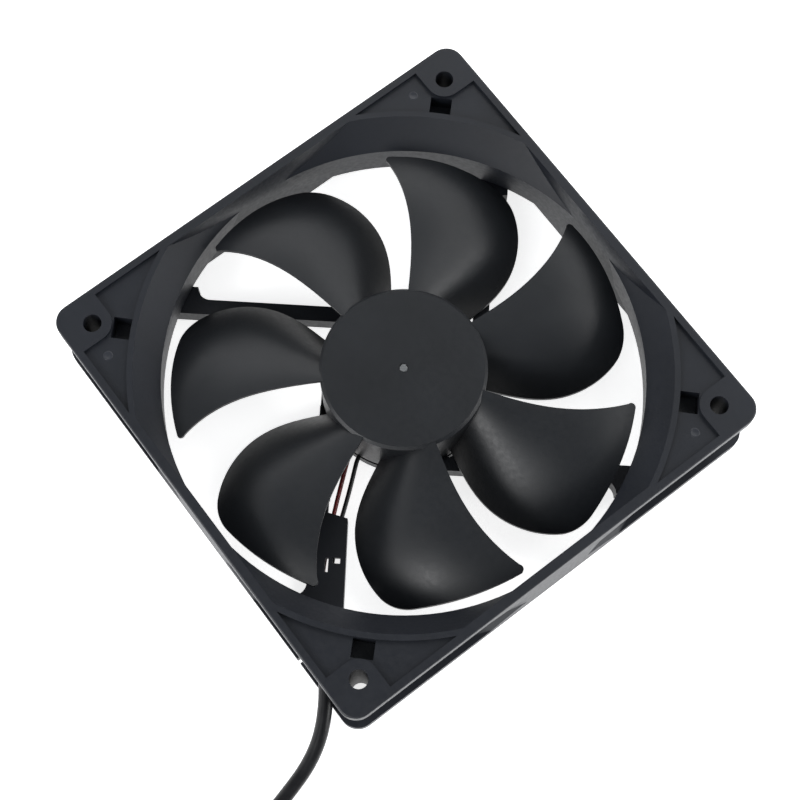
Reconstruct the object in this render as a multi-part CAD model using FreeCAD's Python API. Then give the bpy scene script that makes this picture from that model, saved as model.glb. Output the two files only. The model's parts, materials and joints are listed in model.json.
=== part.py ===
import FreeCAD, Part
import math
import os

from FreeCAD import Vector

# A 120 mm case fan lying on its back, in millimetres. The origin is at the middle of the
# back face, +Z points along the spin axis towards the open intake side, and the cable
# leaves on the -Y side.

os.makedirs("parts", exist_ok=True)

# ---- Driving dimensions ----

FRAME_SIDE = 120.0
FRAME_DEPTH = 25.0
FRAME_CORNER = 4.5
EDGE_ROUND = 0.5
FLANGE = 4.0
HOLE_PITCH = 105.0
HOLE_DIAMETER = 4.4

DUCT_RADIUS = 58.0          # at the throat's front end
DUCT_DRAFT = 0.7            # how much wider the throat is at its back end
DUCT_WALL = 2.7
DUCT_FLAT = 57.6            # half width between the flats inside the four sides
FLARE_RADIUS = 63.6         # the duct's radius where it reaches the faces, in the corners
FRONT_FLARE = 8.0           # how deep each flare goes
BACK_FLARE = 6.0

POCKET_DEPTH = 1.0
POCKET_RADIUS = 65.0
POCKET_EDGE = 58.1
BOSS_RADIUS = 4.6
WINDOW_LENGTH = 4.5         # of the square socket in each corner, towards the axis
WINDOW_WIDTH = 5.2
WINDOW_RADIUS = 67.3
WINDOW_FLOOR = 19.0
WINDOW_WALL = 1.2
SLIT_WIDTH = 1.3
SLIT_X = 38.2
SLIT_DEPTH = 2.6

STRUT_ANGLE = -40.7         # direction of the wire strut, from +X
STRUT_INNER = 16.2          # distance of a strut's two sides from the spin axis
STRUT_OUTER = 20.1
STRUT_HEIGHT = 5.0
STRUT_FILLET = 3.2

CHANNEL_INNER = 11.4        # the wire channel's near side, from the spin axis
CHANNEL_SPLAY = 0.6         # how much wider the channel is at the ring
CHANNEL_START = 33.4        # along the strut
CHANNEL_SLANT = 2.0
CHANNEL_ROOF = 1.4
CHANNEL_WALL = 0.8

BASE_RADIUS = 20.0
BASE_HEIGHT = 3.0
BASE_STEP = 7.2             # radius of the raised step that carries the board
BASE_STEP_HEIGHT = 1.4
NOTCH_ANGLE = 297.5
NOTCH_WIDTH = 7.0
NOTCH_START = 13.2
NOTCH_RIM = 0.8             # the thin bridge outside the notch
LABEL_RADIUS = 18.7
LABEL_THICK = 0.2
LABEL_RECESS = 0.3

HUB_RADIUS = 20.0
HUB_TOP = 22.0
HUB_BOTTOM = 4.6
HUB_WALL = 1.5
HUB_CLEARANCE = 0.8         # room round the hub for it to turn
HUB_CHAMFER = 0.7
GATE_RADIUS = 1.1
GATE_DEPTH = 0.3

BLADES = 7
TIP_CLEARANCE = 2.4         # between a blade's tip and the duct
BLADE_TOP = 21.3            # height of a blade's middle surface at its front edge
BLADE_BOTTOM = 7.6          # and at its back edge
BLADE_THICK = 1.9
BLADE_EDGE = 1.1
FRONT_EDGE_ANGLE = 242.0    # of the first blade, from +X, where the edge is least swept
FRONT_EDGE_SWEEP = 0.01     # how fast the edge bends away from that, outwards and inwards
BACK_EDGE_ANGLE = 200.5
BACK_EDGE_SWEEP = 0.026
TIP_FRONT_ANGLE = 249.3
TIP_BACK_ANGLE = 223.0

YOKE_WALL = 0.8
YOKE_BOTTOM = 6.6
MAGNET_WALL = 1.7
MAGNET_BOTTOM = 7.2
MAGNET_TOP = 17.0
AIR_GAP = 0.5

SHAFT_RADIUS = 1.5
BEARING_RADIUS = 3.5
BEARING_BOTTOM = 3.2
BEARING_TOP = 15.0
TUBE_RADIUS = 5.0
TUBE_BOTTOM = 1.2
TUBE_TOP = 17.0
RUNNING_CLEARANCE = 0.03
THRUST_PAD_TOP = 2.0
END_FLOAT = 0.05
CLIP_RADIUS = 2.6
CLIP_BOTTOM = 2.4
CLIP_THICK = 0.4
GROOVE_RADIUS = 1.1
GROOVE_PLAY = 0.05
SEAL_THICK = 0.7
SLINGER_RADIUS = 2.8
SLINGER_THICK = 0.4
BOSS_BUSH_RADIUS = 4.0
BOSS_BUSH_BOTTOM = 17.7

POLES = 4
CORE_BOTTOM = 8.2
CORE_TOP = 14.2
POLE_WIDTH = 4.0
CORE_HUB = 7.2
POLE_SHOE = 1.5
POLE_SHOE_ANGLE = 74.0
INSULATOR_SKIN = 1.0
INSULATOR_RIM = 2.1
INSULATOR_SHOULDER = 0.5
COIL_THICK = 2.4
COIL_START = 7.8
COIL_END = 12.8

BOARD_RADIUS = 16.4
BOARD_THICK = 1.0

WIRE_DIAMETER = 1.1
CABLE_DIAMETER = 3.5
CABLE_Z = 6.4               # height of the cable between the flanges

COIL_X = 86.1
COIL_BEYOND = 37.3          # from the frame's cable side out to the coil's middle
COIL_MEAN_RADIUS = 19.0
TIE_THICK = 0.6
TIE_WIDTH = 2.5
TIE_ANGLE = 285.0

PLUG_WIDTH = 8.1
PLUG_HEIGHT = 5.4
PLUG_LENGTH = 12.5
PIN_PITCH = 2.54

# ---- Sizes that follow from those ----

half_side = FRAME_SIDE / 2
half_pitch = HOLE_PITCH / 2
shell_radius = DUCT_RADIUS + DUCT_WALL
back_throat = DUCT_RADIUS + DUCT_DRAFT
front_slope = (FLARE_RADIUS - DUCT_RADIUS) / FRONT_FLARE
back_slope = (FLARE_RADIUS - back_throat) / BACK_FLARE
strut_end = FLARE_RADIUS + 1.2
board_bottom = BASE_HEIGHT + BASE_STEP_HEIGHT
board_top = board_bottom + BOARD_THICK
yoke_radius = HUB_RADIUS - HUB_WALL
yoke_top = HUB_TOP - HUB_WALL
blade_tip = DUCT_RADIUS - TIP_CLEARANCE
coil_centre = Vector(COIL_X, -half_side - COIL_BEYOND, 0)
magnet_radius = yoke_radius - YOKE_WALL
stator_radius = magnet_radius - MAGNET_WALL - AIR_GAP
cable_radius = CABLE_DIAMETER / 2
wire_radius = WIRE_DIAMETER / 2

Z_AXIS = Vector(0, 0, 1)
ORIGIN = Vector(0, 0, 0)


# ---- Helpers ----

def cylinder(radius, bottom, top, centre=(0, 0)):
    return Part.makeCylinder(radius, top - bottom, Vector(centre[0], centre[1], bottom))


def ring(outer, inner, bottom, top):
    return cylinder(outer, bottom, top).cut(cylinder(inner, bottom - 1, top + 1))


def block(x0, x1, y0, y1, z0, z1):
    return Part.makeBox(x1 - x0, y1 - y0, z1 - z0, Vector(x0, y0, z0))


def prism(points, bottom, top):
    corners = [Vector(x, y, bottom) for x, y in points]
    outline = Part.makePolygon(corners + corners[:1])
    return Part.Face(outline).extrude(Vector(0, 0, top - bottom))


def revolved(points):
    """Turn an outline of (radius, height) points about the spin axis."""
    corners = [Vector(r, 0, z) for r, z in points]
    outline = Part.makePolygon(corners + corners[:1])
    return Part.Face(outline).revolve(ORIGIN, Z_AXIS, 360)


def turned(shape, angle):
    """A copy of the shape, turned about the spin axis."""
    copy = shape.copy()
    copy.rotate(ORIGIN, Z_AXIS, angle)
    return copy


def round_edges(shape, radius, wanted):
    return shape.makeFillet(radius, [edge for edge in shape.Edges if wanted(edge)])


def is_upright(edge):
    low = edge.BoundBox
    return low.ZLength > 0.5 and low.XLength < 1e-6 and low.YLength < 1e-6


def polar(radius, angle, z=0):
    turn = math.radians(angle)
    return Vector(radius * math.cos(turn), radius * math.sin(turn), z)


def joined(shapes):
    return shapes[0].fuse(shapes[1:]).removeSplitter()


def along_strut(distance, offset, z):
    """The point at a distance along the wire strut and at an offset from the spin axis."""
    angle = math.radians(STRUT_ANGLE)
    x = distance * math.cos(angle) + offset * math.sin(angle)
    y = distance * math.sin(angle) - offset * math.cos(angle)
    return Vector(x, y, z)


def strut_block(start, end, near, far, bottom, top):
    """A block laid along the wire strut, between two offsets from the spin axis."""
    outline = [(start, near), (end, near), (end, far), (start, far)]
    corners = [along_strut(distance, offset, 0) for distance, offset in outline]
    return prism([(corner.x, corner.y) for corner in corners], bottom, top)


def smooth_path(points):
    """Straight runs joined by tangent arcs, as large as the runs beside them allow."""
    edges = []
    radii = []
    start = points[0]
    for before, corner, after in zip(points, points[1:], points[2:]):
        back = before - corner
        ahead = after - corner
        reach = 0.45 * min(back.Length, ahead.Length)
        half_turn = (math.pi - back.getAngle(ahead)) / 2
        radius = reach / math.tan(half_turn)
        back.normalize()
        ahead.normalize()
        bisector = back + ahead
        bisector.normalize()
        entry = corner + back * reach
        leaving = corner + ahead * reach
        middle = corner + bisector * (radius / math.cos(half_turn) - radius)
        edges.append(Part.LineSegment(start, entry).toShape())
        edges.append(Part.Arc(entry, middle, leaving).toShape())
        radii.append(round(radius, 1))
        start = leaving
    edges.append(Part.LineSegment(start, points[-1]).toShape())
    return Part.Wire(edges), radii


def tube(name, points, radius):
    path, radii = smooth_path(points)
    section = Part.Wire(Part.makeCircle(radius, points[0], points[1] - points[0]))
    solid = path.makePipeShell([section], True, False)
    expected = math.pi * radius ** 2 * path.Length
    print(name, "length", round(path.Length, 1), "radii", radii,
          "volume", round(solid.Volume, 1), "expected", round(expected, 1))
    return solid


def save(name, shape):
    shape.exportStep("parts/" + name + ".step")
    print(name, "solids", len(shape.Solids), "valid", shape.isValid(),
          "volume", round(shape.Volume, 2))


# ---- Frame ----

def square_plate(bottom, top):
    plate = block(-half_side, half_side, -half_side, half_side, bottom, top)
    return round_edges(plate, FRAME_CORNER, is_upright)


def flanges():
    front = square_plate(FRAME_DEPTH - FLANGE, FRAME_DEPTH)
    back = square_plate(0, FLANGE)

    def on_front(edge):
        return edge.BoundBox.ZMin > FRAME_DEPTH - 0.01

    def on_back(edge):
        return edge.BoundBox.ZMax < 0.01

    return [round_edges(front, EDGE_ROUND, on_front), round_edges(back, EDGE_ROUND, on_back)]


def duct_shell():
    """The duct's wall, which widens with its flares and is cut off flush with the sides."""
    front_outer = FLARE_RADIUS - front_slope * FLANGE + DUCT_WALL
    back_outer = FLARE_RADIUS - back_slope * FLANGE + DUCT_WALL
    inside = DUCT_RADIUS - 3
    overlap = 0.5
    shell = revolved([
        (inside, FLANGE - overlap),
        (back_outer, FLANGE - overlap),
        (back_outer, FLANGE),
        (shell_radius, BACK_FLARE + 2),
        (shell_radius, FRAME_DEPTH - FRONT_FLARE),
        (front_outer, FRAME_DEPTH - FLANGE),
        (front_outer, FRAME_DEPTH - FLANGE + overlap),
        (inside, FRAME_DEPTH - FLANGE + overlap),
    ])
    return shell.common(square_plate(0, FRAME_DEPTH))


def duct_opening():
    past = 1.0
    opening = revolved([
        (0, -past),
        (FLARE_RADIUS + back_slope * past, -past),
        (back_throat, BACK_FLARE),
        (DUCT_RADIUS, FRAME_DEPTH - FRONT_FLARE),
        (FLARE_RADIUS + front_slope * past, FRAME_DEPTH + past),
        (0, FRAME_DEPTH + past),
    ])
    flats = block(-DUCT_FLAT, DUCT_FLAT, -DUCT_FLAT, DUCT_FLAT, -past, FRAME_DEPTH + past)
    return opening.common(flats)


def corner_pocket(bottom, top):
    """The shallow pocket in one corner of a face, round the screw boss."""
    pocket = block(0, POCKET_EDGE, 0, POCKET_EDGE, bottom, top)
    boss_edge = half_pitch - BOSS_RADIUS
    boss = block(boss_edge, half_side, boss_edge, half_side, bottom - 1, top + 1)

    def inner_corner(edge):
        box = edge.BoundBox
        return is_upright(edge) and box.XMax < half_pitch and box.YMax < half_pitch

    boss = round_edges(boss, BOSS_RADIUS - 0.01, inner_corner)
    return pocket.cut([cylinder(POCKET_RADIUS, bottom - 1, top + 1), boss])


def screw_post():
    """The tube round a screw hole, between the flanges."""
    return cylinder(BOSS_RADIUS, FLANGE - 0.5, FRAME_DEPTH - FLANGE + 0.5,
                    (half_pitch, half_pitch))


def window_block(grow, bottom, top):
    """The square socket between the duct and the screw tube, or a larger block round it."""
    length = WINDOW_LENGTH / 2 + grow
    width = WINDOW_WIDTH / 2 + grow
    socket = block(WINDOW_RADIUS - length, WINDOW_RADIUS + length, -width, width, bottom, top)
    return turned(socket, 45)


def window_well():
    """The closed well of walls below the square socket."""
    return window_block(WINDOW_WALL, WINDOW_FLOOR - WINDOW_WALL, FRAME_DEPTH - FLANGE + 0.5)


def corner_cuts():
    """The screw hole, the square socket and the pockets of one corner."""
    window = window_block(0, WINDOW_FLOOR, FRAME_DEPTH + 1)
    hole = cylinder(HOLE_DIAMETER / 2, -1, FRAME_DEPTH + 1, (half_pitch, half_pitch))
    front = corner_pocket(FRAME_DEPTH - POCKET_DEPTH, FRAME_DEPTH + 1)
    back = corner_pocket(-1, POCKET_DEPTH)
    return [hole, window, front, back]


def inside_wall():
    """The room that the struts may fill: they end within the duct's flared wall."""
    return revolved([
        (0, 0),
        (strut_end, 0),
        (strut_end - back_slope * STRUT_HEIGHT, STRUT_HEIGHT),
        (0, STRUT_HEIGHT),
    ])


def strut():
    """One of the four arms that carry the motor, straight from the motor to the ring."""
    end = math.sqrt(strut_end ** 2 - STRUT_OUTER ** 2)
    arm = strut_block(0, end, STRUT_INNER, STRUT_OUTER, 0, STRUT_HEIGHT)
    offset = STRUT_OUTER + STRUT_FILLET
    distance = math.sqrt((DUCT_RADIUS - STRUT_FILLET) ** 2 - offset ** 2)
    web = strut_block(distance, end - 2, STRUT_OUTER - 0.5, offset, 0, STRUT_HEIGHT)
    centre = along_strut(distance, offset, 0)
    web = web.cut(cylinder(STRUT_FILLET, -1, STRUT_HEIGHT + 1, (centre.x, centre.y)))
    under_hub = cylinder(HUB_RADIUS + HUB_CLEARANCE, BASE_HEIGHT, STRUT_HEIGHT + 1)
    return arm.fuse(web).common(inside_wall()).cut(under_hub)


def wire_channel():
    """The covered half of the wire strut: a roof on two walls, open towards the back."""
    end = math.sqrt(strut_end ** 2 - STRUT_OUTER ** 2)
    outline = [
        (CHANNEL_START, CHANNEL_INNER),
        (end, CHANNEL_INNER - CHANNEL_SPLAY),
        (end, STRUT_OUTER - 0.5),
        (CHANNEL_START - CHANNEL_SLANT, STRUT_OUTER - 0.5),
    ]
    corners = [along_strut(distance, offset, 0) for distance, offset in outline]
    cover = prism([(corner.x, corner.y) for corner in corners], 0, STRUT_HEIGHT)
    peep_hole = strut_block(43.1, 44.5, 12.5, 14.3, -1, STRUT_HEIGHT + 1)
    peep_slit = strut_block(43.3, 46.7, 15.3, 16.1, -1, STRUT_HEIGHT + 1)
    return cover.cut([peep_hole, peep_slit]).common(inside_wall())


def wire_groove():
    """The space that the wires take under the channel's roof and out through the wall."""
    near = CHANNEL_INNER + CHANNEL_WALL
    far = STRUT_OUTER - CHANNEL_WALL
    roof = STRUT_HEIGHT - CHANNEL_ROOF
    groove = strut_block(CHANNEL_START - 5, 57.0, near, far, -1, roof)
    way_out = strut_block(55.8, 67.0, 12.6, 16.8, 1.0, CABLE_Z + cable_radius + 0.6)
    return [groove, way_out]


def motor_base():
    plate = cylinder(BASE_RADIUS, 0, BASE_HEIGHT)
    step = cylinder(BASE_STEP, BASE_HEIGHT, board_bottom)
    return [plate, step]


def motor_base_cuts():
    recess = cylinder(LABEL_RADIUS + 0.3, -1, LABEL_RECESS)
    socket = cylinder(TUBE_RADIUS, TUBE_BOTTOM, board_bottom + 1)
    half = NOTCH_WIDTH / 2
    notch = block(NOTCH_START, BASE_RADIUS - NOTCH_RIM, -half, half, -1, BASE_HEIGHT + 1)
    notch = notch.common(cylinder(BASE_RADIUS - NOTCH_RIM, -1, BASE_HEIGHT + 1))
    return [recess, socket, turned(notch, NOTCH_ANGLE)]


def housing():
    posts = []
    for quarter in range(4):
        posts += [turned(screw_post(), 90 * quarter), turned(window_well(), 90 * quarter)]
    body = joined(flanges() + [duct_shell()] + posts)
    cuts = [duct_opening()]
    for quarter in range(4):
        cuts += [turned(cut, 90 * quarter) for cut in corner_cuts()]
    slit_floor = -half_side + SLIT_DEPTH
    cuts.append(block(SLIT_X - SLIT_WIDTH / 2, SLIT_X + SLIT_WIDTH / 2,
                      -half_side - 1, slit_floor, -1, FLANGE + 1))
    body = body.cut(cuts)
    arms = [turned(strut(), 90 * quarter) for quarter in range(4)]
    body = joined([body, wire_channel()] + motor_base() + arms)
    return body.cut(motor_base_cuts() + wire_groove())


# ---- Motor parts that stay with the frame ----

def bearing_tube():
    return ring(TUBE_RADIUS, BEARING_RADIUS, TUBE_BOTTOM, TUBE_TOP)


def sleeve_bearing():
    bore = SHAFT_RADIUS + RUNNING_CLEARANCE
    return ring(BEARING_RADIUS, bore, BEARING_BOTTOM, BEARING_TOP)


def thrust_pad():
    return cylinder(BEARING_RADIUS, TUBE_BOTTOM, THRUST_PAD_TOP)


def oil_seal():
    return ring(BEARING_RADIUS, SHAFT_RADIUS + 0.3, BEARING_TOP, BEARING_TOP + SEAL_THICK)


def pole_outline(bottom, top, grow, inner):
    """The stator's plan: a hub, straight poles and curved pole shoes."""
    half = POLE_WIDTH / 2 + grow
    shoe = ring(stator_radius, stator_radius - POLE_SHOE, bottom, top)
    wedge_reach = 2 * stator_radius
    half_angle = math.radians(POLE_SHOE_ANGLE / 2)
    wedge = prism([
        (0, 0),
        (wedge_reach * math.cos(half_angle), -wedge_reach * math.sin(half_angle)),
        (wedge_reach * math.cos(half_angle), wedge_reach * math.sin(half_angle)),
    ], bottom, top)
    shoe = shoe.common(wedge)
    pole = block(inner, stator_radius - POLE_SHOE / 2, -half, half, bottom, top)
    pieces = [ring(CORE_HUB, inner, bottom, top)]
    for number in range(POLES):
        pieces.append(turned(shoe, 360 / POLES * number + 45))
        pieces.append(turned(pole, 360 / POLES * number + 45))
    shape = joined(pieces)
    return shape.cut(cylinder(inner, bottom - 1, top + 1))


def stator_core():
    return pole_outline(CORE_BOTTOM, CORE_TOP, 0, TUBE_RADIUS)


def insulator(bottom, top, rim_bottom, rim_top):
    """A plastic end cap: a thin skin over the poles with a rim at the hub and shoes."""
    skin = pole_outline(bottom, top, INSULATOR_SHOULDER, TUBE_RADIUS)
    rims = [ring(CORE_HUB, TUBE_RADIUS, rim_bottom, rim_top)]
    shoe_rim = pole_outline(rim_bottom, rim_top, INSULATOR_SHOULDER, TUBE_RADIUS)
    rims.append(shoe_rim.cut(cylinder(stator_radius - POLE_SHOE, rim_bottom - 1, rim_top + 1)))
    return joined([skin] + rims)


def insulator_upper():
    rim = CORE_TOP + INSULATOR_RIM
    return insulator(CORE_TOP, CORE_TOP + INSULATOR_SKIN, CORE_TOP, rim)


def insulator_lower():
    rim = CORE_BOTTOM - INSULATOR_RIM
    return insulator(CORE_BOTTOM - INSULATOR_SKIN, CORE_BOTTOM, rim, CORE_BOTTOM)


def windings():
    half = POLE_WIDTH / 2 + INSULATOR_SHOULDER
    bottom = CORE_BOTTOM - INSULATOR_SKIN
    top = CORE_TOP + INSULATOR_SKIN
    spread = half + COIL_THICK
    overhang = 1.0
    coil = block(COIL_START, COIL_END, -spread, spread, bottom - overhang, top + overhang)

    def lengthwise(edge):
        return edge.BoundBox.XLength > 1

    coil = round_edges(coil, 0.8, lengthwise)
    coil = coil.cut(block(0, 20, -half, half, bottom, top))
    corner = math.radians(45)
    keep = prism([(0, 0), (30 * math.cos(corner), -30 * math.sin(corner)),
                  (30 * math.cos(corner), 30 * math.sin(corner))], 0, FRAME_DEPTH)
    coil = coil.common(keep)
    return Part.makeCompound([turned(coil, 360 / POLES * number + 45) for number in range(POLES)])


def winding_pins():
    """Three pins from the lower insulator into the board, which end the coil wire."""
    pins = []
    for angle in (0, 90, 180):
        pin = cylinder(0.35, board_bottom, CORE_BOTTOM - INSULATOR_RIM, (6.2, 0))
        pins.append(turned(pin, angle))
    return Part.makeCompound(pins)


def circuit_board():
    board = ring(BOARD_RADIUS, TUBE_RADIUS, board_bottom, board_top)
    holes = [turned(cylinder(0.35, board_bottom - 1, board_top + 1, (6.2, 0)), angle)
             for angle in (0, 90, 180)]
    return board.cut(holes)


def on_board(radius, angle, length, width, bottom, top):
    part = block(radius - length / 2, radius + length / 2, -width / 2, width / 2, bottom, top)
    return turned(part, angle)


def hall_sensor():
    return on_board(14.6, 90, 1.6, 3.0, board_top, board_top + 0.7)


def driver_chip():
    return on_board(11.6, 270 - 45, 4.0, 5.0, board_bottom - 1.1, board_bottom)


def capacitor():
    return turned(cylinder(1.9, board_top, board_top + 4.6, (11.2, 0)), 0)


def resistors():
    parts = [on_board(12.0, angle, 2.0, 1.25, board_bottom - 0.5, board_bottom)
             for angle in (60, 100, 140)]
    return Part.makeCompound(parts)


def label():
    return cylinder(LABEL_RADIUS, LABEL_RECESS - LABEL_THICK, LABEL_RECESS)


# ---- Rotor ----

def along_blade(radius):
    """Stretches a radius drawn for a blade from 20 to 55.6 mm to the real hub and tip."""
    share = (radius - 20.0) / (55.6 - 20.0)
    return HUB_RADIUS + share * (blade_tip - HUB_RADIUS)


def front_angle(radius):
    """Where the first blade's front edge crosses a cylinder about the spin axis."""
    return FRONT_EDGE_ANGLE + FRONT_EDGE_SWEEP * (radius - 26) ** 2


def back_angle(radius):
    return BACK_EDGE_ANGLE + BACK_EDGE_SWEEP * (radius - 30) ** 2


def blade_height(radius, fraction):
    """Height of a blade's middle surface, from its front edge (0) to its back edge (1)."""
    front = BLADE_TOP - 0.014 * max(0, radius - 42) ** 2
    fall = 0.2 * fraction + 0.8 * max(0, fraction) ** 2.4
    return front - (front - BLADE_BOTTOM) * fall


def blade_thickness(fraction):
    inside = min(max(fraction, 0), 1)
    return BLADE_EDGE + (BLADE_THICK - BLADE_EDGE) * math.sin(math.pi * inside)


def blade_grid(side):
    """Points of the blade's upper (+1) or lower (-1) surface, run on past its edges."""
    rows = []
    for radius in (17.5, 26, 34, 42, 50, 58.6):
        row = []
        for step in range(-1, 10):
            fraction = step / 8
            span = front_angle(radius) - back_angle(radius)
            angle = front_angle(radius) - span * fraction
            height = blade_height(radius, fraction) + side * blade_thickness(fraction) / 2
            row.append(polar(along_blade(radius), angle, height))
        rows.append(row)
    return rows


def spline(points):
    curve = Part.BSplineCurve()
    curve.interpolate(points)
    return curve.toShape()


def blade_slab():
    """A curved slab, wider than the blade all round, which its outline then cuts."""
    upper = Part.BSplineSurface()
    upper.interpolate(blade_grid(1))
    lower = Part.BSplineSurface()
    lower.interpolate(blade_grid(-1))
    top, bottom = upper.toShape(), lower.toShape()
    faces = [top, bottom]
    for number in range(4):
        faces.append(Part.makeRuledSurface(top.Edges[number], bottom.Edges[number]))
    shell = Part.makeShell(faces)
    shell.sewShape()
    slab = Part.Solid(shell)
    if slab.Volume < 0:
        slab.reverse()
    return slab


def blade_outline():
    """The blade's plan: front edge, tip with its two rounded corners, and back edge."""
    front_points = [polar(along_blade(radius), front_angle(radius))
                    for radius in (18, 26, 34, 42, 48, 53.8)]
    back_points = [polar(along_blade(radius), back_angle(radius))
                   for radius in (53, 46, 38, 30, 24, 18)]
    tip_start = polar(blade_tip, TIP_FRONT_ANGLE)
    tip_end = polar(blade_tip, TIP_BACK_ANGLE)
    tip_middle = polar(blade_tip, (TIP_FRONT_ANGLE + TIP_BACK_ANGLE) / 2)
    front_corner = Part.Arc(front_points[-1], polar(along_blade(55.1), 250), tip_start)
    tip = Part.Arc(tip_start, tip_middle, tip_end)
    back_corner = Part.Arc(tip_end, polar(along_blade(54.9), 218), back_points[0])
    root = Part.LineSegment(back_points[-1], front_points[0])
    return Part.Wire([spline(front_points), front_corner.toShape(), tip.toShape(),
                      back_corner.toShape(), spline(back_points), root.toShape()])


def blade():
    plan = Part.Face(blade_outline())
    column = plan.extrude(Vector(0, 0, FRAME_DEPTH))
    return blade_slab().common(column)


def impeller():
    cup = cylinder(HUB_RADIUS, HUB_BOTTOM, HUB_TOP)
    cup = cup.makeChamfer(HUB_CHAMFER, [edge for edge in cup.Edges
                                        if edge.BoundBox.ZMin > HUB_TOP - 0.01])
    one = blade()
    blades = [turned(one, 360 / BLADES * number) for number in range(BLADES)]
    body = joined([cup] + blades)
    inside = cylinder(yoke_radius, HUB_BOTTOM - 2, yoke_top)
    gate = cylinder(GATE_RADIUS, HUB_TOP - GATE_DEPTH, HUB_TOP + 1)
    return body.cut([inside, gate])


def rotor_yoke():
    cup = cylinder(yoke_radius, YOKE_BOTTOM, yoke_top)
    inside = cylinder(magnet_radius, YOKE_BOTTOM - 1, yoke_top - YOKE_WALL)
    hole = cylinder(BOSS_BUSH_RADIUS, yoke_top - 2, yoke_top + 1)
    return cup.cut([inside, hole])


def magnet_ring():
    return ring(magnet_radius, magnet_radius - MAGNET_WALL, MAGNET_BOTTOM, MAGNET_TOP)


def shaft_bush():
    return ring(BOSS_BUSH_RADIUS, SHAFT_RADIUS, BOSS_BUSH_BOTTOM, yoke_top)


def shaft():
    groove_bottom = CLIP_BOTTOM - GROOVE_PLAY
    groove_top = CLIP_BOTTOM + CLIP_THICK + GROOVE_PLAY
    body = cylinder(SHAFT_RADIUS, THRUST_PAD_TOP + END_FLOAT, yoke_top)
    groove = ring(SHAFT_RADIUS + 1, GROOVE_RADIUS, groove_bottom, groove_top)
    return body.cut(groove)


def retaining_clip():
    return ring(CLIP_RADIUS, GROOVE_RADIUS, CLIP_BOTTOM, CLIP_BOTTOM + CLIP_THICK)


def oil_slinger():
    bottom = BEARING_TOP + SEAL_THICK + 0.4
    return ring(SLINGER_RADIUS, SHAFT_RADIUS, bottom, bottom + SLINGER_THICK)


# ---- Wires, cable and plug ----

def wire_route(start, over_rim, free_span, groove_offset, exit_offset):
    """A wire from the board, over the base's rim and along the channel, to the cable."""
    return [
        start,
        over_rim,
        free_span,
        along_strut(37.0, groove_offset - 1.0, 2.5),
        along_strut(48.0, groove_offset, 2.1),
        along_strut(56.5, exit_offset, 3.0),
        along_strut(64.0, exit_offset, CABLE_Z),
    ]


def beyond_side(x, out, z):
    """A point at a distance out from the frame's cable side."""
    return Vector(x, -half_side - out, z)


cable_start = along_strut(64.0, 14.7, CABLE_Z)
black_route = wire_route(along_strut(12.4, 6.4, 3.6), along_strut(17.1, 10.0, 3.6),
                         along_strut(26.6, 11.6, 3.0), 14.85, 14.15)
red_route = wire_route(along_strut(12.6, 9.9, 3.6), along_strut(17.3, 12.25, 3.6),
                       along_strut(26.0, 13.9, 3.0), 16.75, 15.3)

# The cable's route is chosen by hand: out between the flanges, down to the floor and on
# to the outside of the coil.
cable_route = [cable_start] + [beyond_side(*point) for point in [
    (47.0, -1.9, 6.3),
    (54.6, 5.0, 4.4),
    (58.7, 12.0, 2.3),
    (61.0, 19.8, 1.9),
    (63.0, 28.0, 2.1),
    (64.4, 36.0, 2.35),
    (66.2, 43.5, 2.35),
]]

tail_route = [beyond_side(*point) for point in [
    (106.2, 32.1, 5.8),
    (105.0, 25.2, 4.6),
    (103.2, 18.6, 2.4),
    (101.2, 11.6, 1.9),
    (100.0, 4.2, 2.7),
]]

plug_start = beyond_side(99.7, -3.5, 2.7)


def cable_coil():
    """The outer shape of the coiled length: turns two side by side, in two layers."""
    half = CABLE_DIAMETER + 0.1
    bottom = TIE_THICK
    top = bottom + 2 * CABLE_DIAMETER
    inner = COIL_MEAN_RADIUS - half
    outer = COIL_MEAN_RADIUS + half
    coil = ring(outer, inner, bottom, top)

    def rims(edge):
        return edge.BoundBox.ZLength < 1e-6

    coil = round_edges(coil, cable_radius, rims)
    coil.translate(coil_centre)
    return coil


def cable_tie():
    half = CABLE_DIAMETER + 0.1
    top = TIE_THICK + 2 * CABLE_DIAMETER
    inner = COIL_MEAN_RADIUS - half
    outer = COIL_MEAN_RADIUS + half
    width = TIE_WIDTH / 2
    band = block(inner - TIE_THICK, outer + TIE_THICK, -width, width, 0, top + TIE_THICK)
    band = band.cut(block(inner, outer, -width - 1, width + 1, TIE_THICK, top))
    head = block(outer + TIE_THICK - 0.1, outer + 3.4, -2.2, 2.2, 2.4, 6.0)
    tie = turned(joined([band, head]), TIE_ANGLE)
    tie.translate(coil_centre)
    return tie


def lead(offset):
    """A short wire from the end of the cable's sleeve into the plug."""
    near = tail_route[-1] + Vector(offset * 0.6, 0, 0)
    far = plug_start + Vector(offset * PIN_PITCH, 0, 0)
    direction = far - near
    return Part.makeCylinder(wire_radius, direction.Length, near, direction)


def plug_outline(inset, bottom, top):
    half = PLUG_WIDTH / 2 - inset
    x, y = plug_start.x, plug_start.y
    return block(x - half, x + half, y, y + PLUG_LENGTH, bottom, top)


def contact_box(number):
    """The place of one contact, as x limits across the plug."""
    x = plug_start.x + (number - 1) * PIN_PITCH
    return x - 1.0, x + 1.0


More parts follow.
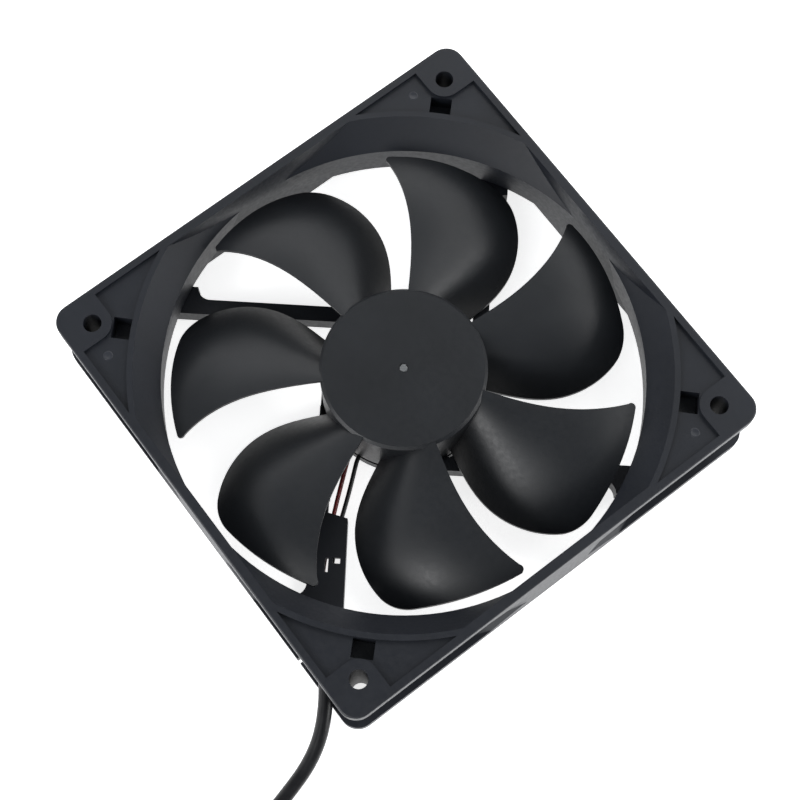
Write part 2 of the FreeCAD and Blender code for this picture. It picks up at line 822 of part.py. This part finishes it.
def plug_housing():
    """A three way crimp housing, with a locking ramp on top and polarising ribs."""
    body = plug_outline(0, 0, PLUG_HEIGHT)
    body = round_edges(body, 0.4, lambda edge: edge.BoundBox.YLength > 1)
    y = plug_start.y
    for number in range(3):
        left, right = contact_box(number)
        body = body.cut(block(left, right, y - 1, y + PLUG_LENGTH + 1, 1.7, 3.7))
        body = body.cut(block(left + 0.4, right - 0.4, y + 3.0, y + 5.2, 3.5, PLUG_HEIGHT + 1))
    ridge = prism([(y + 8.5, 0), (y + PLUG_LENGTH, 0), (y + PLUG_LENGTH, 0.6)], 0, 3.0)
    ridge.rotate(ORIGIN, Vector(1, 1, 1), 120)
    ramp_box = ridge.BoundBox
    ridge.translate(Vector(plug_start.x - 1.5 - ramp_box.XMin, y + 8.5 - ramp_box.YMin,
                           PLUG_HEIGHT - 0.05 - ramp_box.ZMin))
    return joined([body, ridge])


def plug_contacts():
    contacts = []
    y = plug_start.y
    for number in (0, 2):
        left, right = contact_box(number)
        inset = 0.1
        body = block(left + inset, right - inset, y + 2.6, y + 11.0, 1.8, 3.6)
        mouth = block(left + 0.5, right - 0.5, y + 6.0, y + 12.0, 2.2, 3.2)
        contacts.append(body.cut(mouth))
    return Part.makeCompound(contacts)


# ---- Every sub-part, one file each ----

save("housing", housing())
save("bearing_tube", bearing_tube())
save("sleeve_bearing", sleeve_bearing())
save("thrust_pad", thrust_pad())
save("oil_seal", oil_seal())
save("stator_core", stator_core())
save("insulator_upper", insulator_upper())
save("insulator_lower", insulator_lower())
save("windings", windings())
save("winding_pins", winding_pins())
save("circuit_board", circuit_board())
save("hall_sensor", hall_sensor())
save("driver_chip", driver_chip())
save("capacitor", capacitor())
save("resistors", resistors())
save("label", label())
save("impeller", impeller())
save("rotor_yoke", rotor_yoke())
save("magnet_ring", magnet_ring())
save("shaft_bush", shaft_bush())
save("shaft", shaft())
save("retaining_clip", retaining_clip())
save("oil_slinger", oil_slinger())
save("black_wire", tube("black_wire", black_route, wire_radius))
save("red_wire", tube("red_wire", red_route, wire_radius))
save("cable", tube("cable", cable_route, cable_radius).cut(cable_coil()))
save("cable_coil", cable_coil())
save("cable_tie", cable_tie())
save("cable_tail", tube("cable_tail", tail_route, cable_radius).cut(cable_coil()))
save("black_lead", lead(-1))
save("red_lead", lead(1))
save("plug_housing", plug_housing())
save("plug_contacts", plug_contacts())
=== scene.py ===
import json
import math

import bmesh
import bpy
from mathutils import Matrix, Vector


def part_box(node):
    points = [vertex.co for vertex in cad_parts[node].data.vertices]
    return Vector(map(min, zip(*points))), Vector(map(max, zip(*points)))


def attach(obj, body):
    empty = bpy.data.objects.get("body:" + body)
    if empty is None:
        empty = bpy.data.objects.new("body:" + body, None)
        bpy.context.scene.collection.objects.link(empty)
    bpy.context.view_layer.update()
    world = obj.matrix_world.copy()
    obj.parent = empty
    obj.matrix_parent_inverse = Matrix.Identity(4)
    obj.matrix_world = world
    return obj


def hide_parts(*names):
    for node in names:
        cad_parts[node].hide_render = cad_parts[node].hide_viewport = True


# A 120 mm case fan on a white surface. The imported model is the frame; this script adds the
# camera, the lights, the materials and the pieces that are better as smooth meshes.

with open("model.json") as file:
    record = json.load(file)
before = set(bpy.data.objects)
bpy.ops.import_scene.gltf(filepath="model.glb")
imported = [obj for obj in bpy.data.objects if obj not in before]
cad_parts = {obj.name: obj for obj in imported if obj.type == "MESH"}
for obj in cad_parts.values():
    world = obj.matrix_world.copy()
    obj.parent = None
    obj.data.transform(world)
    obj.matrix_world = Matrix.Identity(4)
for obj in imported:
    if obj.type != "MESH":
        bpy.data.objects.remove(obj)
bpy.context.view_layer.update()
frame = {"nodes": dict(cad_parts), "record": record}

MM = 0.001
FAN = "frame_body"
ROTOR = "rotor"
scene = bpy.context.scene


# ---- Camera, at the photograph's viewing angle ----

LOOK_AT = (3.6, -3.8, 12.5)
CAMERA_AZIMUTH = -37.2         # from +X, as seen from above
CAMERA_ELEVATION = 73.7
CAMERA_DISTANCE = 413.5
CAMERA_LENS = 77.3


def direction(azimuth, elevation):
    """The unit vector at that azimuth from +X and that height above the floor."""
    turn, rise = math.radians(azimuth), math.radians(elevation)
    return Vector((math.cos(turn) * math.cos(rise), math.sin(turn) * math.cos(rise),
                   math.sin(rise)))


def aim(thing, place, target):
    thing.location = place
    thing.rotation_mode = "QUATERNION"
    thing.rotation_quaternion = (target - place).to_track_quat("-Z", "Y")


def add_camera():
    data = bpy.data.cameras.new("camera")
    data.sensor_width = 36.0
    data.lens = CAMERA_LENS
    data.clip_start = 0.01
    data.clip_end = 60.0
    camera = bpy.data.objects.new("camera", data)
    scene.collection.objects.link(camera)
    target = Vector(LOOK_AT) * MM
    place = target + direction(CAMERA_AZIMUTH, CAMERA_ELEVATION) * CAMERA_DISTANCE * MM
    aim(camera, place, target)
    scene.camera = camera


add_camera()


# ---- The free cable: one spline from the frame, round its coil and on to the plug ----

CABLE_DIAMETER = 3.5
COIL_CENTRE = (86.1, -97.3)
COIL_START = 197.2            # angle at which the cable joins its coil
TURN_STEP = 15.0
OUTER_TURN = 20.85
INNER_TURN = 17.3
LOW_LAYER = 2.35
HIGH_LAYER = 5.85

cable_way_in = [
    (38.93, -52.88, 6.4),
    (47.0, -58.1, 6.3),
    (54.6, -65.0, 4.4),
    (58.7, -72.0, 2.3),
    (61.0, -79.8, 1.9),
    (63.0, -88.0, 2.1),
    (64.4, -96.0, 2.35),
]

cable_way_out = [
    (105.0, -85.2, 4.6),
    (103.2, -78.6, 2.4),
    (101.2, -71.6, 1.9),
    (100.0, -64.2, 2.7),
]

# Where each turn lies: (degrees along the coil, radius, height).
coil_stages = [
    (0, OUTER_TURN, LOW_LAYER),
    (285, OUTER_TURN, LOW_LAYER),
    (340, INNER_TURN, LOW_LAYER),
    (590, INNER_TURN, LOW_LAYER),
    (650, INNER_TURN, HIGH_LAYER),
    (885, INNER_TURN, HIGH_LAYER),
    (950, OUTER_TURN, HIGH_LAYER),
    (1260, OUTER_TURN, HIGH_LAYER),
]


def ease(share):
    return share * share * (3 - 2 * share)


def coil_points():
    """The coil's points, a few degrees apart, stepping from turn to turn."""
    points = []
    along = 0.0
    while along <= coil_stages[-1][0]:
        for start, end in zip(coil_stages, coil_stages[1:]):
            if start[0] <= along <= end[0]:
                share = ease((along - start[0]) / (end[0] - start[0]))
                radius = start[1] + (end[1] - start[1]) * share
                height = start[2] + (end[2] - start[2]) * share
        radius /= math.cos(math.radians(TURN_STEP / 2))
        angle = math.radians(COIL_START + along)
        points.append((COIL_CENTRE[0] + radius * math.cos(angle),
                       COIL_CENTRE[1] + radius * math.sin(angle), height))
        along += TURN_STEP
    return points


def spline_curve(name, points, diameter, sides=6):
    curve = bpy.data.curves.new(name, "CURVE")
    curve.dimensions = "3D"
    spline = curve.splines.new("NURBS")
    spline.points.add(len(points) - 1)
    for point, place in zip(spline.points, points):
        point.co = (place[0] * MM, place[1] * MM, place[2] * MM, 1.0)
        point.radius = diameter / 2 * MM
    spline.order_u = 3
    spline.use_endpoint_u = True
    spline.resolution_u = 8
    curve.bevel_depth = 1.0         # times each point's radius
    curve.bevel_resolution = sides
    curve.use_fill_caps = True
    obj = bpy.data.objects.new(name, curve)
    scene.collection.objects.link(obj)
    return obj


def spline_length(points):
    """The length of the smooth line, from the midpoints of its control runs."""
    total = 0.0
    steps = 8
    for before, here, after in zip(points, points[1:], points[2:]):
        a = (Vector(before) + Vector(here)) / 2
        b = Vector(here)
        c = (Vector(here) + Vector(after)) / 2
        last = a
        for number in range(1, steps + 1):
            t = number / steps
            now = a * (1 - t) ** 2 + b * 2 * t * (1 - t) + c * t ** 2
            total += (now - last).length
            last = now
    ends = (Vector(points[0]) - Vector(points[1])).length
    ends += (Vector(points[-1]) - Vector(points[-2])).length
    return total + ends / 2


cable_points = cable_way_in + coil_points() + cable_way_out
cable = spline_curve("sleeved_cable", cable_points, CABLE_DIAMETER)
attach(cable, FAN)
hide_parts("cable", "cable_coil", "cable_tail")
spline_length(cable_points) * MM


# ---- Materials ----

class Nodes:
    """A short way of writing a node tree."""

    def __init__(self, material):
        material.use_nodes = True
        self.tree = material.node_tree
        self.tree.nodes.clear()
        self.out = self.add("ShaderNodeOutputMaterial")
        self.shader = self.add("ShaderNodeBsdfPrincipled")
        self.link(self.shader.outputs[0], self.out.inputs["Surface"])
        place = self.add("ShaderNodeTexCoord")
        self.place = place.outputs["Object"]

    def add(self, kind, **settings):
        node = self.tree.nodes.new(kind)
        for name, value in settings.items():
            setattr(node, name, value)
        return node

    def link(self, output, target):
        self.tree.links.new(output, target)

    def noise(self, scale, detail, roughness):
        node = self.add("ShaderNodeTexNoise")
        node.inputs["Scale"].default_value = scale
        node.inputs["Detail"].default_value = detail
        node.inputs["Roughness"].default_value = roughness
        self.link(self.place, node.inputs["Vector"])
        return node.outputs["Fac"]

    def bands(self, scale, axis, distortion=0.0):
        node = self.add("ShaderNodeTexWave", bands_direction=axis, wave_profile="SIN")
        node.inputs["Scale"].default_value = scale
        node.inputs["Distortion"].default_value = distortion
        self.link(self.place, node.inputs["Vector"])
        return node.outputs["Fac"]

    def ramp(self, source, stops):
        node = self.add("ShaderNodeValToRGB")
        ramp = node.color_ramp
        ramp.elements[0].position, ramp.elements[0].color = stops[0][0], (*stops[0][1], 1)
        ramp.elements[1].position, ramp.elements[1].color = stops[-1][0], (*stops[-1][1], 1)
        for position, color in stops[1:-1]:
            ramp.elements.new(position).color = (*color, 1)
        self.link(source, node.inputs["Fac"])
        return node.outputs["Color"]

    def span(self, source, low, high, from_low=0.3, from_high=0.7):
        node = self.add("ShaderNodeMapRange")
        node.inputs["From Min"].default_value = from_low
        node.inputs["From Max"].default_value = from_high
        node.inputs["To Min"].default_value = low
        node.inputs["To Max"].default_value = high
        self.link(source, node.inputs["Value"])
        return node.outputs["Result"]

    def maths(self, operation, first, second):
        node = self.add("ShaderNodeMath", operation=operation)
        for socket, value in zip(node.inputs, (first, second)):
            if isinstance(value, (int, float)):
                socket.default_value = value
            else:
                self.link(value, socket)
        return node.outputs[0]

    def bump(self, heights):
        """Heights are (source, distance in mm) pairs, laid one over another."""
        normal = None
        for source, distance in heights:
            node = self.add("ShaderNodeBump")
            node.inputs["Strength"].default_value = 1.0
            node.inputs["Distance"].default_value = distance * MM
            self.link(source, node.inputs["Height"])
            if normal:
                self.link(normal, node.inputs["Normal"])
            normal = node.outputs["Normal"]
        self.link(normal, self.shader.inputs["Normal"])

    def set(self, **values):
        for name, value in values.items():
            self.shader.inputs[name.replace("_", " ")].default_value = value

    def color(self, source):
        self.link(source, self.shader.inputs["Base Color"])

    def rough(self, source):
        self.link(source, self.shader.inputs["Roughness"])


def shade(color, factor):
    return tuple(channel * factor for channel in color)


def moulded(name, color, rough=(0.40, 0.53), grain=0.004, specular=0.35):
    """Moulded plastic: faint flow marks, fine spark texture, slightly uneven gloss."""
    material = bpy.data.materials.new(name)
    n = Nodes(material)
    flow = n.noise(60, 3, 0.5)
    fine = n.noise(5200, 2, 0.5)
    mid = n.noise(900, 4, 0.6)
    n.color(n.ramp(flow, [(0.3, shade(color, 0.85)), (0.7, shade(color, 1.15))]))
    n.rough(n.span(mid, rough[0], rough[1]))
    n.bump([(mid, grain), (fine, grain * 0.6)])
    n.set(Specular_IOR_Level=specular)
    return material


def metal(name, color, rough=(0.25, 0.4), axis="Z", lines=2600, depth=0.002):
    """Turned or rolled metal with fine lines across one axis."""
    material = bpy.data.materials.new(name)
    n = Nodes(material)
    lines_mark = n.bands(lines, axis, 1.5)
    cloud = n.noise(250, 4, 0.6)
    n.color(n.ramp(cloud, [(0.3, shade(color, 0.85)), (0.7, shade(color, 1.1))]))
    n.rough(n.span(cloud, rough[0], rough[1]))
    n.bump([(lines_mark, depth)])
    n.set(Metallic=1.0)
    return material


def sleeve(name, color):
    """Extruded sleeving: smooth, faint lengthways haze."""
    material = bpy.data.materials.new(name)
    n = Nodes(material)
    haze = n.noise(400, 3, 0.5)
    fine = n.noise(3000, 3, 0.6)
    n.color(n.ramp(haze, [(0.3, shade(color, 0.85)), (0.7, shade(color, 1.2))]))
    n.rough(n.span(haze, 0.28, 0.4))
    n.bump([(fine, 0.006)])
    n.set(Specular_IOR_Level=0.28)
    return material


def insulation(name, color):
    material = bpy.data.materials.new(name)
    n = Nodes(material)
    haze = n.noise(700, 3, 0.5)
    n.color(n.ramp(haze, [(0.3, shade(color, 0.8)), (0.7, shade(color, 1.15))]))
    n.rough(n.span(haze, 0.28, 0.42))
    n.bump([(n.noise(2500, 2, 0.5), 0.004)])
    n.set(Specular_IOR_Level=0.5)
    return material


def wound_copper(name):
    material = bpy.data.materials.new(name)
    n = Nodes(material)
    turns = n.bands(1100, "Z", 0.6)
    cloud = n.noise(500, 3, 0.6)
    n.color(n.ramp(turns, [(0.0, (0.20, 0.06, 0.02)), (0.5, (0.62, 0.25, 0.10)),
                           (1.0, (0.80, 0.40, 0.18))]))
    n.rough(n.span(cloud, 0.22, 0.36))
    n.bump([(turns, 0.08)])
    n.set(Metallic=1.0, Coat_Weight=0.5, Coat_Roughness=0.15)
    return material


def laminated_steel(name):
    material = bpy.data.materials.new(name)
    n = Nodes(material)
    sheets = n.bands(630, "Z", 0.0)
    cloud = n.noise(300, 4, 0.6)
    n.color(n.ramp(sheets, [(0.0, (0.10, 0.10, 0.11)), (0.4, (0.34, 0.35, 0.37)),
                            (1.0, (0.42, 0.43, 0.45))]))
    n.rough(n.span(cloud, 0.35, 0.55))
    n.bump([(sheets, 0.04)])
    n.set(Metallic=1.0)
    return material


def board(name):
    material = bpy.data.materials.new(name)
    n = Nodes(material)
    weave = n.maths("ADD", n.bands(900, "X", 0.3), n.bands(900, "Y", 0.3))
    cloud = n.noise(180, 3, 0.5)
    n.color(n.ramp(cloud, [(0.3, (0.030, 0.15, 0.060)), (0.7, (0.055, 0.22, 0.095))]))
    n.rough(n.span(cloud, 0.25, 0.38))
    n.bump([(weave, 0.006)])
    n.set(Specular_IOR_Level=0.5, Coat_Weight=0.4, Coat_Roughness=0.2)
    return material


def ferrite(name):
    material = bpy.data.materials.new(name)
    n = Nodes(material)
    speck = n.noise(4000, 5, 0.7)
    cloud = n.noise(260, 3, 0.5)
    n.color(n.ramp(speck, [(0.35, (0.035, 0.032, 0.031)), (0.7, (0.11, 0.10, 0.095))]))
    n.rough(n.span(cloud, 0.55, 0.75))
    n.bump([(speck, 0.01)])
    return material


def film(name):
    """A pale label film, with a faint satin grain."""
    material = bpy.data.materials.new(name)
    n = Nodes(material)
    cloud = n.noise(220, 4, 0.6)
    n.color(n.ramp(cloud, [(0.3, (0.78, 0.78, 0.76)), (0.7, (0.86, 0.86, 0.84))]))
    n.rough(n.span(cloud, 0.4, 0.55))
    n.bump([(n.noise(3500, 3, 0.5), 0.004)])
    n.set(Specular_IOR_Level=0.45)
    return material


BLACK = (0.0092, 0.0108, 0.0150)
materials = {
    "frame_plastic": moulded("frame_plastic_look", BLACK),
    "impeller_plastic": moulded("impeller_plastic_look", (0.0092, 0.0104, 0.0125),
                                rough=(0.36, 0.46), grain=0.005),
    "brass_tube": metal("brass_look", (0.72, 0.53, 0.24)),
    "bearing_bronze": metal("bronze_look", (0.48, 0.30, 0.15), rough=(0.45, 0.6)),
    "nylon": moulded("nylon_look", (0.72, 0.70, 0.64), specular=0.5),
    "core_steel": laminated_steel("lamination_look"),
    "insulator_plastic": moulded("insulator_look", (0.70, 0.68, 0.62), specular=0.5),
    "copper_wire": wound_copper("copper_look"),
    "contact_brass": metal("contact_look", (0.74, 0.68, 0.52)),
    "board_laminate": board("board_look"),
    "chip_plastic": moulded("chip_look", (0.020, 0.020, 0.021)),
    "capacitor_can": metal("can_look", (0.70, 0.70, 0.72), rough=(0.2, 0.3)),
    "chip_ceramic": moulded("ceramic_look", (0.035, 0.035, 0.042), specular=0.6),
    "label_film": film("label_look"),
    "black_insulation": insulation("black_wire_look", (0.012, 0.012, 0.013)),
    "red_insulation": insulation("red_wire_look", (0.20, 0.012, 0.012)),
    "cable_sleeve": sleeve("sleeve_look", (0.007, 0.007, 0.008)),
    "tie_nylon": moulded("tie_look", (0.020, 0.020, 0.021), specular=0.5),
    "plug_plastic": moulded("plug_look", (0.66, 0.64, 0.58), specular=0.5),
    "yoke_steel": metal("yoke_look", (0.50, 0.50, 0.49), rough=(0.3, 0.45)),
    "magnet_ferrite": ferrite("ferrite_look"),
    "shaft_steel": metal("shaft_look", (0.62, 0.62, 0.63), rough=(0.12, 0.22)),
}

for part in frame["record"]["subparts"]:
    node = frame["nodes"][part["node"]]
    look = materials[part["material_slot"]]
    for place in node.material_slots:
        place.material = look

cable.data.materials.append(materials["cable_sleeve"])


# ---- Small marks that the moulding tool leaves in the corner pockets ----

MARK_FAR = 54.0                # each mark's distances from the fan's two middle lines
MARK_NEAR = 44.0

def loft(shape, rings):
    """Join rings of points with faces, and close the last one."""
    for low, high in zip(rings, rings[1:]):
        for number in range(len(low)):
            after = (number + 1) % len(low)
            shape.faces.new((low[number], low[after], high[after], high[number]))
    shape.faces.new(rings[-1])


def add_mesh(name, shape, look, body):
    """Make a smooth piece of the shape, which rides on that body."""
    for face in shape.faces:
        face.smooth = True
    mesh = bpy.data.meshes.new(name)
    shape.to_mesh(mesh)
    shape.free()
    piece = bpy.data.objects.new(name, mesh)
    scene.collection.objects.link(piece)
    mesh.materials.append(look)
    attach(piece, body)


def add_ejector_marks():
    places = [(-MARK_FAR, MARK_NEAR), (-MARK_NEAR, -MARK_FAR), (MARK_FAR, MARK_NEAR)]
    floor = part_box("housing")[1].z - 1.0 * MM
    shape = bmesh.new()
    for x, y in places:
        rings = []
        for radius, height in [(1.15, 0.0), (1.08, 0.05), (0.9, 0.07), (0.8, 0.03)]:
            ring = []
            for number in range(40):
                angle = math.tau * number / 40
                ring.append(shape.verts.new((x * MM + radius * MM * math.cos(angle),
                                             y * MM + radius * MM * math.sin(angle),
                                             floor + height * MM)))
            rings.append(ring)
        loft(shape, rings)
    # The marks' lighter base colour is painted sheen; their lower roughness gives the real
    # gloss.
    look = moulded("mark_sheen_painted_look", (0.022, 0.024, 0.030), rough=(0.3, 0.4))
    add_mesh("ejector_marks", shape, look, FAN)


add_ejector_marks()


# ---- The broken-off gate at the middle of the hub ----

def add_gate():
    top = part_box("impeller")[1].z
    shape = bmesh.new()
    outline = [(1.0, -0.28), (0.95, -0.1), (0.7, 0.06), (0.35, 0.2), (0.12, 0.24)]
    around = 48
    rings = []
    for radius, height in outline:
        ring = []
        for number in range(around):
            angle = math.tau * number / around
            torn = 1 + 0.07 * math.sin(3 * angle + 0.6) + 0.04 * math.sin(7 * angle)
            ring.append(shape.verts.new((radius * torn * math.cos(angle) * MM,
                                         radius * torn * math.sin(angle) * MM,
                                         top + height * MM)))
        rings.append(ring)
    loft(shape, rings)
    look = moulded("torn_gate_look", (0.13, 0.135, 0.14), rough=(0.5, 0.65), grain=0.02)
    add_mesh("gate_stub", shape, look, ROTOR)


add_gate()


# ---- Floor and light ----

LOW_FILL = 2.0                 # powers of the soft lights round the fan
SIDE_KEY = 6.5
HIGH_FILL = 3.0
BLADE_KEY = 3.5
LOW_ELEVATION = 18             # degrees above the floor, and metres from the fan
LOW_DISTANCE = 1.2
HIGH_ELEVATION = 45
HIGH_DISTANCE = 1.3

def add_floor():
    bpy.ops.mesh.primitive_plane_add(size=40.0, location=(0, 0, 0))
    floor = bpy.context.object
    floor.name = "studio_floor"
    material = bpy.data.materials.new("floor_look")
    n = Nodes(material)
    cloud = n.noise(3, 2, 0.5)
    n.color(n.ramp(cloud, [(0.3, (0.93, 0.93, 0.93)), (0.7, (0.95, 0.95, 0.95))]))
    n.set(Roughness=0.9, Specular_IOR_Level=0.1, Emission_Color=(1, 1, 1, 1),
          Emission_Strength=0.8)
    floor.data.materials.append(material)


def add_softbox(azimuth, elevation, distance, power, width=0.8, height=0.7):
    """A soft light at that azimuth from +X and that height, aimed at the fan."""
    data = bpy.data.lights.new("softbox", "AREA")
    data.shape = "RECTANGLE"
    data.size = width
    data.size_y = height
    data.energy = power
    light = bpy.data.objects.new("softbox", data)
    scene.collection.objects.link(light)
    aim(light, direction(azimuth, elevation) * distance, Vector((0, 0, 0)))


def add_world():
    world = bpy.data.worlds.new("soft_white")
    scene.world = world
    world.use_nodes = True
    background = world.node_tree.nodes["Background"]
    background.inputs["Color"].default_value = (0.90, 0.95, 1.0, 1)
    background.inputs["Strength"].default_value = 0.3


add_floor()
add_world()
for azimuth in (90, 135, 180, 225, 315):
    add_softbox(azimuth, LOW_ELEVATION, LOW_DISTANCE, LOW_FILL, height=0.5)
for azimuth in (45, 270):
    add_softbox(azimuth, LOW_ELEVATION, LOW_DISTANCE, SIDE_KEY, height=0.5)
for azimuth in (60, 105, 150, 285):
    add_softbox(azimuth, HIGH_ELEVATION, HIGH_DISTANCE, HIGH_FILL)
add_softbox(280, 35, HIGH_DISTANCE, BLADE_KEY, width=0.25, height=0.25)

scene.view_settings.view_transform = "Standard"
scene.view_settings.look = "None"
